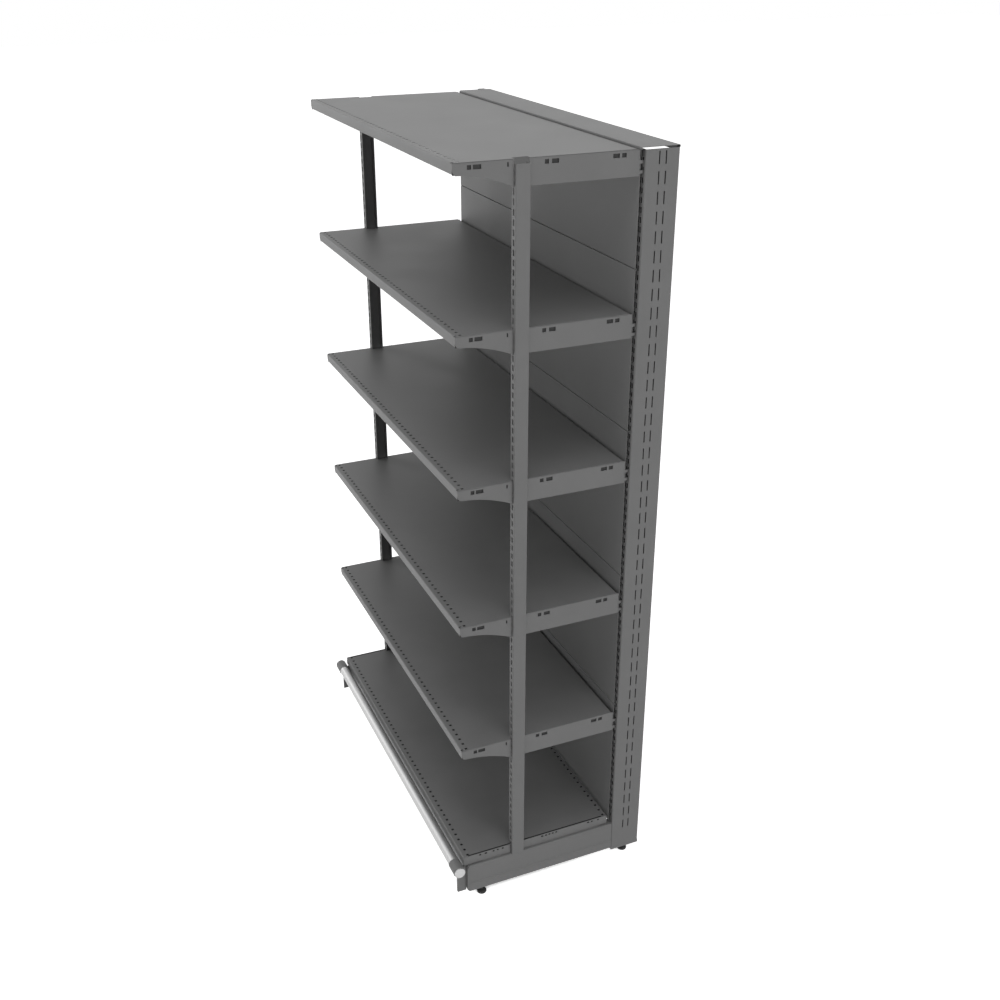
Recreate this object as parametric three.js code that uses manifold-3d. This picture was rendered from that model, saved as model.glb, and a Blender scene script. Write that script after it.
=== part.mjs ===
// One bay of steel gondola shelving: two slotted uprights at the back, two slotted posts near the front,
// five shelves hung on brackets, a base shelf on two legs, back panels, a top cover and a bumper rail.
// Millimetres, +Z up. The front faces -Y, and the origin is on the floor under the middle of the bay.
import * as THREE from "three";
import { mergeVertices } from "three/addons/utils/BufferGeometryUtils.js";
import Module from "manifold-3d";

const wasm = await Module();
wasm.setup();

// Clearances and sheet thicknesses
const FIT = 0.3;
const SHEET = 1.5;
const WALL = 2;
const BRACKET_THICKNESS = 2.5;

// Rear uprights: box sections whose inner wall stops short of the top
const BAY_PITCH = 1212;
const UPRIGHT_WIDTH = 30;
const UPRIGHT_DEPTH = 98;
const UPRIGHT_BELOW_TOP_SHELF = 1;
const INNER_WALL_DROP = 7.5;
const SLIT_PITCH = 50;
const SLIT_LENGTH = 33;
const SLIT_WIDTH = 3;
const SLIT_COLUMN_GAP = 19;
const SLIT_END_MARGIN = 22;

// Floor plates under the uprights
const SHOE_CLEARANCE = 19;
const SHOE_HEIGHT = 11;

// Front posts: C sections that stand on the base legs
const POST_WIDTH = 25;
const POST_DEPTH = 40;
const POST_SETBACK = 158;
const POST_HEADROOM = 9;

// Hook slots, on one height grid for posts and uprights
const SLOT_PITCH = 24.7;
const SLOT_HEIGHT = 15.5;
const SLOT_WIDTH = 8;
const SLOT_FROM_FOOT = 33;

// Shelves
const SHELF_COUNT = 5;
const FIRST_SHELF_SLOT = 14;
const SLOTS_PER_STEP = 17;
const SHELF_DEPTH = 494;
const SHELF_REAR_GAP = 15;
const TRAY_HEIGHT = 30;
const BASE_TRAY_HEIGHT = 32;
const NOSE_LIP = 64;
const NOTCH_CLEARANCE = 1.5;

// Shelf brackets and their hooks
const BRACKET_HEIGHT = 65;
const BRACKET_TIP_HEIGHT = 29;
const BRACKET_TIP_BEVEL = 5;
const BRACKET_REAR_GAP = 10;
const HOOK_NECK = 8;
const HOOK_DROP = 6;
const HOOK_LIP = 4;
const HOOK_INSET = 6;
const HOOKS_PER_END = 2;

// Base legs, kick plate and levelling feet
const LEG_CLEARANCE = 26;
const LEG_HEIGHT = 98;
const LEG_WIDTH = 30;
const LEG_SETBACK = 14.5;
const KICK_DEPTH = 5.5;
const KICK_TOP_GAP = 3;
const KICK_HEIGHT = 88;
const FOOT_RADIUS = 15;
const FOOT_PAD = 7;
const FOOT_CONE = 4;
const STEM_RADIUS = 5;
const STEM_CLEARANCE = 0.6;
const STEM_ABOVE_PLATE = 8;
const FRONT_FOOT_SETBACK = 46;
const FOOT_SIDES = 16;

// Back panels
const PANEL_COUNT = 5;
const TOP_PANEL_HEIGHT = 304;
const PANEL_GAP = 0.6;
const PANEL_DEPTH = 5.6;
const PANEL_HOOK_INSET = 22;
const PANEL_ABOVE_LEG = 4;
const PANEL_END_INSET = 15;

// Tie beams between the uprights
const BEAM_DEPTH = 25;
const BEAM_HEIGHT = 40;
const LOWER_BEAM_RISE = 26;
const UPPER_BEAM_DROP = 40;

// Top cover
const COVER_OVERHANG = 12;
const COVER_PAD_HEIGHT = 5;
const COVER_PAD_LAP = 20;
const COVER_PAD_DEPTH = 22;
const COVER_PAD_FROM_REAR = 10;

// Bumper rail
const BUMPER_RADIUS = 17;
const BUMPER_WALL = 1.5;
const BUMPER_REACH = 20;
const BUMPER_BELOW_LEG_TOP = 4;
const BUMPER_OVERHANG = 10;
const PLUG_DEPTH = 12;
const SLEEVE_WALL = 1.2;
const SLEEVE_LENGTH = 45;
const SLEEVE_FROM_END = 5;
const BUMPER_BRACKET_WIDTH = 8;
const ROUND_SIDES = 24;

// Places along X
const outerX = (BAY_PITCH + UPRIGHT_WIDTH) / 2;
const uprightInnerX = outerX - UPRIGHT_WIDTH;
const postInnerX = outerX - POST_WIDTH;
const bracketX = outerX - POST_WIDTH / 2;
const trayTopX = bracketX + BRACKET_THICKNESS / 2 + FIT;
const trayEndX = bracketX - BRACKET_THICKNESS / 2 - FIT;
const notchX = postInnerX - NOTCH_CLEARANCE;
const panelEndX = outerX - PANEL_END_INSET;

// Places along Y, from the back of the uprights to the front of the bumper
const sleeveInnerRadius = BUMPER_RADIUS + FIT;
const sleeveRadius = sleeveInnerRadius + SLEEVE_WALL;
const overallDepth = UPRIGHT_DEPTH + SHELF_REAR_GAP + SHELF_DEPTH + BUMPER_REACH + sleeveRadius;
const rearY = overallDepth / 2;
const uprightFrontY = rearY - UPRIGHT_DEPTH;
const panelFrontY = uprightFrontY - FIT - PANEL_DEPTH;
const shelfRearY = uprightFrontY - SHELF_REAR_GAP;
const shelfFrontY = shelfRearY - SHELF_DEPTH;
const postFrontY = shelfFrontY + POST_SETBACK;
const postRearY = postFrontY + POST_DEPTH;
const legFrontY = shelfFrontY + LEG_SETBACK;
const kickFrontY = legFrontY - FIT - KICK_DEPTH;
const bumperY = shelfFrontY - BUMPER_REACH;
const frontFootY = legFrontY + FRONT_FOOT_SETBACK;
const rearFootY = rearY - UPRIGHT_DEPTH / 2;

// Places along Z
const legTop = LEG_CLEARANCE + LEG_HEIGHT;
const bumperZ = legTop - BUMPER_BELOW_LEG_TOP;
const panelBottom = legTop + PANEL_ABOVE_LEG;
const postBottom = legTop + FIT;
const slotCount = FIRST_SHELF_SLOT + (SHELF_COUNT - 1) * SLOTS_PER_STEP + HOOKS_PER_END;
const slotZ = (index) => postBottom + SLOT_FROM_FOOT + index * SLOT_PITCH;
const postTop = slotZ(slotCount - 1) + SLOT_HEIGHT / 2 + POST_HEADROOM;
const shelfSlot = (level) => FIRST_SHELF_SLOT + level * SLOTS_PER_STEP;
const bracketBottom = (level) => slotZ(shelfSlot(level)) - SLOT_HEIGHT / 2 + FIT - HOOK_INSET;
const shelfTop = (level) => bracketBottom(level) + BRACKET_HEIGHT + FIT + SHEET;
const baseTop = legTop + FIT + BASE_TRAY_HEIGHT;
const uprightBottom = SHOE_CLEARANCE + SHOE_HEIGHT + FIT;
const uprightTop = shelfTop(SHELF_COUNT - 1) - UPRIGHT_BELOW_TOP_SHELF;
const coverUnderside = uprightTop + COVER_PAD_HEIGHT;
const coverTop = coverUnderside + SHEET;

// Colours of the powder coat, the bumper tube and the dark feet
const POWDER_COAT = { color: 0x6f6f6f, roughness: 0.55, metalness: 0.1 };
const BRIGHT_TUBE = { color: 0xd2d2d2, roughness: 0.35, metalness: 0.6 };
const DARK_FOOT = { color: 0x3a3a3a, roughness: 0.7, metalness: 0.0 };

// A closed geometry as a solid that can be joined and cut
function solidOf(geometry) {
  const bare = geometry.clone();
  bare.deleteAttribute("normal");
  bare.deleteAttribute("uv");
  const merged = mergeVertices(bare, 1e-4);
  return new wasm.Manifold(
    new wasm.Mesh({
      numProp: 3,
      vertProperties: new Float32Array(merged.attributes.position.array),
      triVerts: new Uint32Array(merged.index.array),
    }),
  );
}

// A solid as a geometry for a mesh
function geometryOf(solid) {
  const mesh = solid.getMesh();
  const geometry = new THREE.BufferGeometry();
  geometry.setAttribute("position", new THREE.BufferAttribute(mesh.vertProperties, 3));
  geometry.setIndex(new THREE.BufferAttribute(mesh.triVerts, 1));
  geometry.computeVertexNormals();
  return geometry;
}

// A block between two corners
function block([x0, x1], [y0, y1], [z0, z1]) {
  const geometry = new THREE.BoxGeometry(x1 - x0, y1 - y0, z1 - z0);
  geometry.translate((x0 + x1) / 2, (y0 + y1) / 2, (z0 + z1) / 2);
  return solidOf(geometry);
}

const joined = (solids) => solids.reduce((whole, solid) => whole.add(solid));
const without = (solid, cuts) => cuts.reduce((rest, cut) => rest.subtract(cut), solid);

// A range that starts at the outer face of one side of the bay and runs a distance inwards
function inwards(side, from, distance) {
  const ends = [side * from, side * (from - distance)];
  return ends.sort((a, b) => a - b);
}

// A flat plate whose outline is drawn in Y and Z, spread along X about a middle plane
function plate(outline, middleX, thickness) {
  const geometry = new THREE.ExtrudeGeometry(outline, {
    depth: thickness,
    bevelEnabled: false,
    curveSegments: 7,
  });
  const alongX = new THREE.Matrix4().makeBasis(
    new THREE.Vector3(0, 1, 0),
    new THREE.Vector3(0, 0, 1),
    new THREE.Vector3(1, 0, 0),
  );
  geometry.applyMatrix4(alongX);
  geometry.translate(middleX - thickness / 2, 0, 0);
  return solidOf(geometry);
}

// A turned piece from radius and height pairs, standing on the origin along +Z
function turned(profile, sides) {
  const points = profile.map(([radius, height]) => new THREE.Vector2(radius, height));
  const geometry = new THREE.LatheGeometry(points, sides);
  geometry.rotateX(Math.PI / 2);
  return solidOf(geometry);
}

// A turned piece laid along +X
function turnedAlongX(profile, sides) {
  return solidOf(geometryOf(turned(profile, sides)).rotateY(Math.PI / 2));
}

const bay = new THREE.Group();

// One named mesh in a group, with its own material
function addPiece(parent, name, solid, finish) {
  const mesh = new THREE.Mesh(geometryOf(solid), new THREE.MeshStandardMaterial(finish));
  mesh.name = name;
  parent.add(mesh);
  return mesh;
}

const SIDES = [
  { word: "right", sign: 1 },
  { word: "left", sign: -1 },
];
const LEVELS = Array.from({ length: SHELF_COUNT }, (_, level) => level);

// Slots that the hooks of every bracket use, through a wall that faces front or back
function hookSlots(sign, wallY) {
  const slots = [];
  for (const level of LEVELS) {
    for (let hook = 0; hook < HOOKS_PER_END; hook++) {
      slots.push(oneSlot(sign, wallY, shelfSlot(level) + hook));
    }
  }
  return slots;
}

function oneSlot(sign, wallY, index) {
  const middle = sign * bracketX;
  return block(
    [middle - SLOT_WIDTH / 2, middle + SLOT_WIDTH / 2],
    [wallY[0] - FIT, wallY[1] + FIT],
    [slotZ(index) - SLOT_HEIGHT / 2, slotZ(index) + SLOT_HEIGHT / 2],
  );
}

// Rear upright: an outer wall with two columns of slits, a front and a rear wall, and a lower inner wall
function upright(sign) {
  const height = [uprightBottom, uprightTop];
  const web = block(inwards(sign, outerX, WALL), [uprightFrontY, rearY], height);
  const flangeX = inwards(sign, outerX, UPRIGHT_WIDTH);
  const frontFlange = [uprightFrontY, uprightFrontY + WALL];
  const rearFlange = [rearY - WALL, rearY];
  const innerHeight = [uprightBottom, uprightTop - INNER_WALL_DROP];
  const innerWall = block(inwards(sign, uprightInnerX + WALL, WALL), [uprightFrontY, rearY], innerHeight);
  const section = joined([
    web,
    innerWall,
    block(flangeX, frontFlange, height),
    block(flangeX, rearFlange, height),
  ]);
  const slitRun = uprightTop - uprightBottom - 2 * SLIT_END_MARGIN;
  const slitCount = Math.floor(slitRun / SLIT_PITCH);
  const topSlit = uprightTop - SLIT_END_MARGIN;
  const slits = [];
  for (const column of [-0.5, 0.5]) {
    const y = rearY - UPRIGHT_DEPTH / 2 + column * SLIT_COLUMN_GAP;
    for (let i = 0; i < slitCount; i++) {
      const z = topSlit - i * SLIT_PITCH;
      slits.push(
        block(
          inwards(sign, outerX + FIT, WALL + 2 * FIT),
          [y - SLIT_WIDTH / 2, y + SLIT_WIDTH / 2],
          [z - SLIT_LENGTH / 2, z + SLIT_LENGTH / 2],
        ),
      );
    }
  }
  return without(section, [...slits, ...hookSlots(sign, frontFlange)]);
}

// Floor plate under an upright: a shallow tray with a threaded hole for the levelling foot
function uprightShoe(sign) {
  const x = inwards(sign, outerX, UPRIGHT_WIDTH);
  const y = [uprightFrontY, rearY];
  const top = SHOE_CLEARANCE + SHOE_HEIGHT;
  const body = block(x, y, [SHOE_CLEARANCE, top]);
  const hollow = block(
    [x[0] + WALL, x[1] - WALL],
    [y[0] + WALL, y[1] - WALL],
    [SHOE_CLEARANCE + WALL, top + FIT],
  );
  return without(body, [hollow, stemHole(sign * footX, rearFootY, SHOE_CLEARANCE)]);
}

const footX = outerX - UPRIGHT_WIDTH / 2;

// The hole that a foot's stem passes, through a plate whose underside is at the given height
function stemHole(x, y, underside) {
  const radius = STEM_RADIUS + STEM_CLEARANCE;
  const profile = [[0, -FIT], [radius, -FIT], [radius, WALL + FIT], [0, WALL + FIT]];
  return turned(profile, FOOT_SIDES).translate(x, y, underside);
}

// Tie beam: a rectangular tube between the inner walls of the uprights
function tieBeam(bottom) {
  const halfLength = uprightInnerX - FIT;
  const y = [rearY - WALL - FIT - BEAM_DEPTH, rearY - WALL - FIT];
  const z = [bottom, bottom + BEAM_HEIGHT];
  const body = block([-halfLength, halfLength], y, z);
  const bore = block(
    [-halfLength - FIT, halfLength + FIT],
    [y[0] + WALL, y[1] - WALL],
    [z[0] + WALL, z[1] - WALL],
  );
  return without(body, [bore]);
}

// Top cover: a plate with a short flange along the front and the back, on a pad over each upright.
// It starts at the right upright's outer face and stops at the left upright, whose top takes the next bay's.
function topCover() {
  const x = [-uprightInnerX + FIT, outerX];
  const y = [uprightFrontY - COVER_OVERHANG, rearY];
  const padY = [rearY - COVER_PAD_FROM_REAR - COVER_PAD_DEPTH, rearY - COVER_PAD_FROM_REAR];
  const foldZ = [uprightTop + FIT, coverTop];
  return joined([
    block(x, y, [coverUnderside, coverTop]),
    block(x, [y[0], y[0] + SHEET], foldZ),
    block(x, [y[1] - SHEET, y[1]], foldZ),
    block([uprightInnerX, outerX], padY, foldZ),
    block([-outerX, x[0] + COVER_PAD_LAP], padY, [uprightTop + FIT, coverUnderside + SHEET / 2]),
  ]);
}

// Back panel: a sheet with its long edges folded back, on two upright strips that hook to the uprights
function backPanel(bottom, top) {
  const x = [-panelEndX, panelEndX];
  const y = [panelFrontY, uprightFrontY - FIT];
  const body = block(x, y, [bottom, top]);
  const hollow = block(
    [x[0] - FIT, x[1] + FIT],
    [y[0] + SHEET, y[1] + FIT],
    [bottom + SHEET, top - SHEET],
  );
  const stripX = outerX - PANEL_HOOK_INSET;
  const strips = SIDES.map(({ sign }) => block(inwards(sign, stripX, WALL), y, [bottom, top]));
  return joined([without(body, [hollow]), ...strips]);
}

// Front post: a web on the outside and two flanges, with a full column of slots in the front flange
function frontPost(sign) {
  const height = [postBottom, postTop];
  const web = block(inwards(sign, outerX, WALL), [postFrontY, postRearY], height);
  const flangeX = inwards(sign, outerX, POST_WIDTH);
  const frontFlange = [postFrontY, postFrontY + WALL];
  const rearFlange = [postRearY - WALL, postRearY];
  const section = joined([web, block(flangeX, frontFlange, height), block(flangeX, rearFlange, height)]);
  const slots = hookSlots(sign, rearFlange);
  for (let i = 0; i < slotCount; i++) {
    slots.push(oneSlot(sign, frontFlange, i));
  }
  return without(section, slots);
}

// Hooks on the end of a bracket: each passes a slot in the wall at wallY and drops behind it.
// They are drawn from the bracket's underside, at height zero, and a drop of zero makes a plain tab.
function hooks(endY, wallY, direction, drop) {
  const shapes = [];
  const wallFar = wallY + direction * (WALL + FIT);
  const tip = wallFar + direction * HOOK_LIP;
  for (let hook = 0; hook < HOOKS_PER_END; hook++) {
    const bottom = HOOK_INSET + hook * SLOT_PITCH;
    const neckY = [endY - direction * FIT, tip].sort((a, b) => a - b);
    const dropY = [wallFar, tip].sort((a, b) => a - b);
    shapes.push(block(middleOfBracket, neckY, [bottom, bottom + HOOK_NECK]));
    if (drop > 0) {
      shapes.push(block(middleOfBracket, dropY, [bottom - drop, bottom + HOOK_NECK]));
    }
  }
  return shapes;
}

const middleOfBracket = [-BRACKET_THICKNESS / 2, BRACKET_THICKNESS / 2];

// Rear bracket: a plain plate from the upright to the post, hooked at the back and tabbed at the front
function rearBracket() {
  const y = [postRearY + FIT, uprightFrontY - BRACKET_REAR_GAP];
  const body = block(middleOfBracket, y, [0, BRACKET_HEIGHT]);
  const rearHooks = hooks(y[1], uprightFrontY, 1, HOOK_DROP);
  const frontTabs = hooks(y[0], postRearY, -1, 0);
  return joined([body, ...rearHooks, ...frontTabs]);
}

// Front bracket: a cantilever plate with an arched underside, hooked into the post's front flange
function frontBracket() {
  const postEnd = postFrontY - FIT;
  const tipBottom = BRACKET_HEIGHT - BRACKET_TIP_HEIGHT;
  const arch = new THREE.Vector2(
    shelfFrontY + (postEnd - shelfFrontY) * 0.67,
    tipBottom - BRACKET_TIP_BEVEL,
  );
  const outline = new THREE.Shape();
  outline.moveTo(postEnd, 0);
  outline.lineTo(postEnd, BRACKET_HEIGHT);
  outline.lineTo(shelfFrontY, BRACKET_HEIGHT);
  outline.lineTo(shelfFrontY, tipBottom + BRACKET_TIP_BEVEL);
  outline.lineTo(shelfFrontY + BRACKET_TIP_BEVEL, tipBottom);
  outline.quadraticCurveTo(arch.x, arch.y, postEnd, 0);
  const rearHooks = hooks(postEnd, postFrontY, 1, HOOK_DROP);
  return joined([plate(outline, 0, BRACKET_THICKNESS), ...rearHooks]);
}

// Shelf tray: a plate with a folded nose, a rear flange and end flanges, notched round the two posts.
// Its top face is at height zero, topX is how far the plate reaches and endX where the end flanges stand.
function shelfTray(topX, endX, height) {
  const y = [shelfFrontY, shelfRearY];
  const top = block([-topX, topX], y, [-SHEET, 0]);
  const body = block([-endX, endX], y, [-height, 0]);
  const hollowX = [-endX + SHEET, endX - SHEET];
  const behindLip = block(hollowX, [y[0] + NOSE_LIP, y[1] - SHEET], [-height - FIT, -SHEET]);
  const overLip = block(hollowX, [y[0] + SHEET, y[0] + NOSE_LIP + FIT], [-height + SHEET, -SHEET]);
  const notches = SIDES.map(({ sign }) =>
    block(
      inwards(sign, topX + FIT, topX + FIT - notchX),
      [postFrontY - NOTCH_CLEARANCE, postRearY + NOTCH_CLEARANCE],
      [-height - FIT, FIT],
    ),
  );
  return without(without(body, [behindLip, overLip]).add(top), notches);
}

// Base leg: a C section from the upright to the front, with its web outside and a hole for the front foot
function baseLeg(sign) {
  const y = [legFrontY, uprightFrontY - FIT];
  const web = block(inwards(sign, outerX, WALL), y, [LEG_CLEARANCE, legTop]);
  const flangeX = inwards(sign, outerX, LEG_WIDTH);
  const lower = block(flangeX, y, [LEG_CLEARANCE, LEG_CLEARANCE + WALL]);
  const upper = block(flangeX, y, [legTop - WALL, legTop]);
  return without(joined([web, lower, upper]), [stemHole(sign * footX, frontFootY, LEG_CLEARANCE)]);
}

// Kick plate: a folded sheet across the front ends of the two legs
function kickPlate() {
  const x = [-outerX, outerX];
  const y = [kickFrontY, legFrontY - FIT];
  const top = legTop - KICK_TOP_GAP;
  const body = block(x, y, [top - KICK_HEIGHT, top]);
  const hollow = block(
    [x[0] + SHEET, x[1] - SHEET],
    [y[0] + SHEET, y[1] + FIT],
    [top - KICK_HEIGHT + SHEET, top - SHEET],
  );
  return without(body, [hollow]);
}

// Levelling foot: a round pad on a threaded stem that passes its plate
function levellingFoot(plateUnderside) {
  const stemTop = plateUnderside + WALL + STEM_ABOVE_PLATE;
  return turned(
    [
      [0, 0],
      [FOOT_RADIUS, 0],
      [FOOT_RADIUS, FOOT_PAD],
      [STEM_RADIUS, FOOT_PAD + FOOT_CONE],
      [STEM_RADIUS, stemTop],
      [0, stemTop],
    ],
    FOOT_SIDES,
  );
}

// A ring along +X from two radii and two ends
function ringAlongX(inner, outer, from, to) {
  const profile = [[inner, from], [outer, from], [outer, to], [inner, to], [inner, from]];
  return turnedAlongX(profile, ROUND_SIDES);
}

const bumperEndX = outerX + BUMPER_OVERHANG;

// End plug: a disc that closes the bumper tube, with a spigot inside the bore
function bumperPlug() {
  const bore = BUMPER_RADIUS - BUMPER_WALL - FIT;
  const profile = [
    [0, -PLUG_DEPTH],
    [bore, -PLUG_DEPTH],
    [bore, FIT],
    [BUMPER_RADIUS, FIT],
    [BUMPER_RADIUS, FIT + SHEET],
    [0, FIT + SHEET],
  ];
  return turnedAlongX(profile, ROUND_SIDES);
}

// Bumper bracket: a plate on the kick plate that carries a sleeve from below and behind
function bumperBracket() {
  const outline = new THREE.Shape();
  outline.moveTo(kickFrontY - FIT, LEG_CLEARANCE);
  outline.lineTo(kickFrontY - FIT, bumperZ);
  outline.lineTo(bumperY, bumperZ);
  outline.lineTo(bumperY, LEG_CLEARANCE);
  outline.closePath();
  const radius = sleeveRadius + FIT;
  const reach = BUMPER_BRACKET_WIDTH;
  const seat = turnedAlongX([[0, -reach], [radius, -reach], [radius, reach], [0, reach]], ROUND_SIDES);
  return without(plate(outline, 0, BUMPER_BRACKET_WIDTH), [seat.translate(0, bumperY, bumperZ)]);
}

// Frame
const frameGroup = new THREE.Group();
bay.add(frameGroup);
for (const { word, sign } of SIDES) {
  addPiece(frameGroup, `upright_${word}`, upright(sign), POWDER_COAT);
  addPiece(frameGroup, `upright_shoe_${word}`, uprightShoe(sign), POWDER_COAT);
  addPiece(frameGroup, `front_post_${word}`, frontPost(sign), POWDER_COAT);
}
addPiece(frameGroup, "tie_beam_lower", tieBeam(LEG_CLEARANCE + LOWER_BEAM_RISE), POWDER_COAT);
addPiece(frameGroup, "tie_beam_upper", tieBeam(uprightTop - UPPER_BEAM_DROP - BEAM_HEIGHT), POWDER_COAT);
addPiece(frameGroup, "top_cover", topCover(), POWDER_COAT);

// Back panels from the base upwards: equal ones, and a shorter one at the top
const panelPitch = (uprightTop - TOP_PANEL_HEIGHT - panelBottom) / (PANEL_COUNT - 1);
for (let i = 0; i < PANEL_COUNT; i++) {
  const bottom = panelBottom + i * panelPitch + PANEL_GAP / 2;
  const height = i < PANEL_COUNT - 1 ? panelPitch : TOP_PANEL_HEIGHT;
  addPiece(frameGroup, `back_panel_${i + 1}`, backPanel(bottom, bottom + height - PANEL_GAP), POWDER_COAT);
}

// Base
const baseGroup = new THREE.Group();
bay.add(baseGroup);
for (const { word, sign } of SIDES) {
  addPiece(baseGroup, `base_leg_${word}`, baseLeg(sign), POWDER_COAT);
  const front = addPiece(baseGroup, `foot_front_${word}`, levellingFoot(LEG_CLEARANCE), DARK_FOOT);
  front.position.set(sign * footX, frontFootY, 0);
  const rear = addPiece(baseGroup, `foot_rear_${word}`, levellingFoot(SHOE_CLEARANCE), DARK_FOOT);
  rear.position.set(sign * footX, rearFootY, 0);
}
addPiece(baseGroup, "kick_plate", kickPlate(), POWDER_COAT);
const baseTray = shelfTray(trayTopX, trayTopX, BASE_TRAY_HEIGHT);
addPiece(baseGroup, "base_shelf", baseTray, POWDER_COAT).position.z = baseTop;

// Bumper rail in front of the kick plate
const bumperGroup = new THREE.Group();
bumperGroup.position.set(0, bumperY, bumperZ);
bay.add(bumperGroup);
const tubeEndX = bumperEndX - SHEET - FIT;
const tube = ringAlongX(BUMPER_RADIUS - BUMPER_WALL, BUMPER_RADIUS, -tubeEndX, tubeEndX);
addPiece(bumperGroup, "bumper_tube", tube, BRIGHT_TUBE);
for (const { word, sign } of SIDES) {
  const plug = addPiece(bumperGroup, `bumper_plug_${word}`, bumperPlug(), BRIGHT_TUBE);
  plug.position.x = sign * tubeEndX;
  plug.rotation.z = sign > 0 ? 0 : Math.PI;
  const sleeve = ringAlongX(sleeveInnerRadius, sleeveRadius, -SLEEVE_LENGTH / 2, SLEEVE_LENGTH / 2);
  const sleeveX = bumperEndX - SLEEVE_FROM_END - SLEEVE_LENGTH / 2;
  addPiece(bumperGroup, `bumper_sleeve_${word}`, sleeve, POWDER_COAT).position.x = sign * sleeveX;
  addPiece(baseGroup, `bumper_bracket_${word}`, bumperBracket(), POWDER_COAT).position.x = sign * sleeveX;
}

// Hung shelves, numbered from the lowest
for (const level of LEVELS) {
  const shelfGroup = new THREE.Group();
  shelfGroup.position.z = bracketBottom(level);
  bay.add(shelfGroup);
  const number = level + 1;
  const tray = shelfTray(trayTopX, trayEndX, TRAY_HEIGHT);
  const trayRise = shelfTop(level) - bracketBottom(level);
  addPiece(shelfGroup, `shelf_${number}`, tray, POWDER_COAT).position.z = trayRise;
  for (const { word, sign } of SIDES) {
    const rear = addPiece(shelfGroup, `rear_bracket_${number}_${word}`, rearBracket(), POWDER_COAT);
    rear.position.x = sign * bracketX;
    const front = addPiece(shelfGroup, `front_bracket_${number}_${word}`, frontBracket(), POWDER_COAT);
    front.position.x = sign * bracketX;
  }
}

export default bay;
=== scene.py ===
import math

import bpy
import numpy as np
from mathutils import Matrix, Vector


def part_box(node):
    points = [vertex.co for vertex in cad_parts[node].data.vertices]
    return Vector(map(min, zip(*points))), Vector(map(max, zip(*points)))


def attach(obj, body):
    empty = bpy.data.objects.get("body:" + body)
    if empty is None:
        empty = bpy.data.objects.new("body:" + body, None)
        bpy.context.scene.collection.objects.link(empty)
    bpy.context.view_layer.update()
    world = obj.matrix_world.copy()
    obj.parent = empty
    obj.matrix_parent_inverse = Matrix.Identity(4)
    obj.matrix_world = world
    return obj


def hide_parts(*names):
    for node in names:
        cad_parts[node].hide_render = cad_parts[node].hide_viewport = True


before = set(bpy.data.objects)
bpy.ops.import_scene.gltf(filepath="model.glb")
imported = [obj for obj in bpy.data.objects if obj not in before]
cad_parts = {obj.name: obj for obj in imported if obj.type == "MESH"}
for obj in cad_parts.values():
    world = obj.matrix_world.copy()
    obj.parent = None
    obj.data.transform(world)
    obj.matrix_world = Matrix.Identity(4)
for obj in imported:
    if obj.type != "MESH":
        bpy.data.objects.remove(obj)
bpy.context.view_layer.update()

# Rear uprights: roll-formed steel box sections in grey powder coat. The inner wall stops short of the top,
# the outer wall has two columns of long slits, and the front wall two columns of hook slots.
MM = 0.001
UPRIGHT_WALL = 2.0 * MM
UPRIGHT_FOLD = 4.0 * MM
SLIT_PITCH = 50 * MM
SLIT_LENGTH = 33 * MM
SLIT_WIDTH = 3.4 * MM
SLIT_COLUMNS = (-9.5 * MM, 9.5 * MM)
SLIT_FROM_TOP = 22 * MM
SLOT_PITCH = 24.7 * MM
SLOT_HEIGHT = 15.5 * MM
UPRIGHT_SLOT_WIDTH = 8.0 * MM
UPRIGHT_SLOT_INSETS = (12.5 * MM, 22.3 * MM)
INNER_WALL_DROP = 7.5 * MM
POWDER_COAT_GREY = "#818181"
POWDER_COAT_RUBBED = "#868686"
# The four greys below paint shade on inner and hidden faces: the first pair in the post channels, the second
# elsewhere.
CHANNEL_SHADE_GREY = "#606060"
CHANNEL_SHADE_DRIFT = "#666666"
DEEP_SHADE_GREY = "#2a2a2a"
DEEP_SHADE_DRIFT = "#323232"
PEEL_WIDTH = 4 * MM
DRIFTS_PER_METRE = 7.0


def linear(colour):
    """sRGB hex to linear RGBA: c/12.92 below 0.04045, else ((c + 0.055)/1.055)**2.4."""
    c = np.array([int(colour[i:i + 2], 16) for i in (1, 3, 5)]) / 255
    rgb = np.where(c <= 0.04045, c / 12.92, ((c + 0.055) / 1.055) ** 2.4)
    return (*rgb.tolist(), 1.0)


def add_node(tree, kind, settings=None, links=None):
    """A shader node with its settings and its input links {socket: (node, output)}."""
    node = tree.nodes.new(kind)
    for key, value in (settings or {}).items():
        if isinstance(key, int) or key in node.inputs:
            node.inputs[key].default_value = value
        else:
            setattr(node, key, value)
    for key, (source, output) in (links or {}).items():
        tree.links.new(source.outputs[output], node.inputs[key])
    return node


def new_material(name):
    """An empty node material and its Principled shader."""
    material = bpy.data.materials.new(name)
    material.use_nodes = True
    tree = material.node_tree
    return material, tree, tree.nodes["Principled BSDF"]


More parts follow.
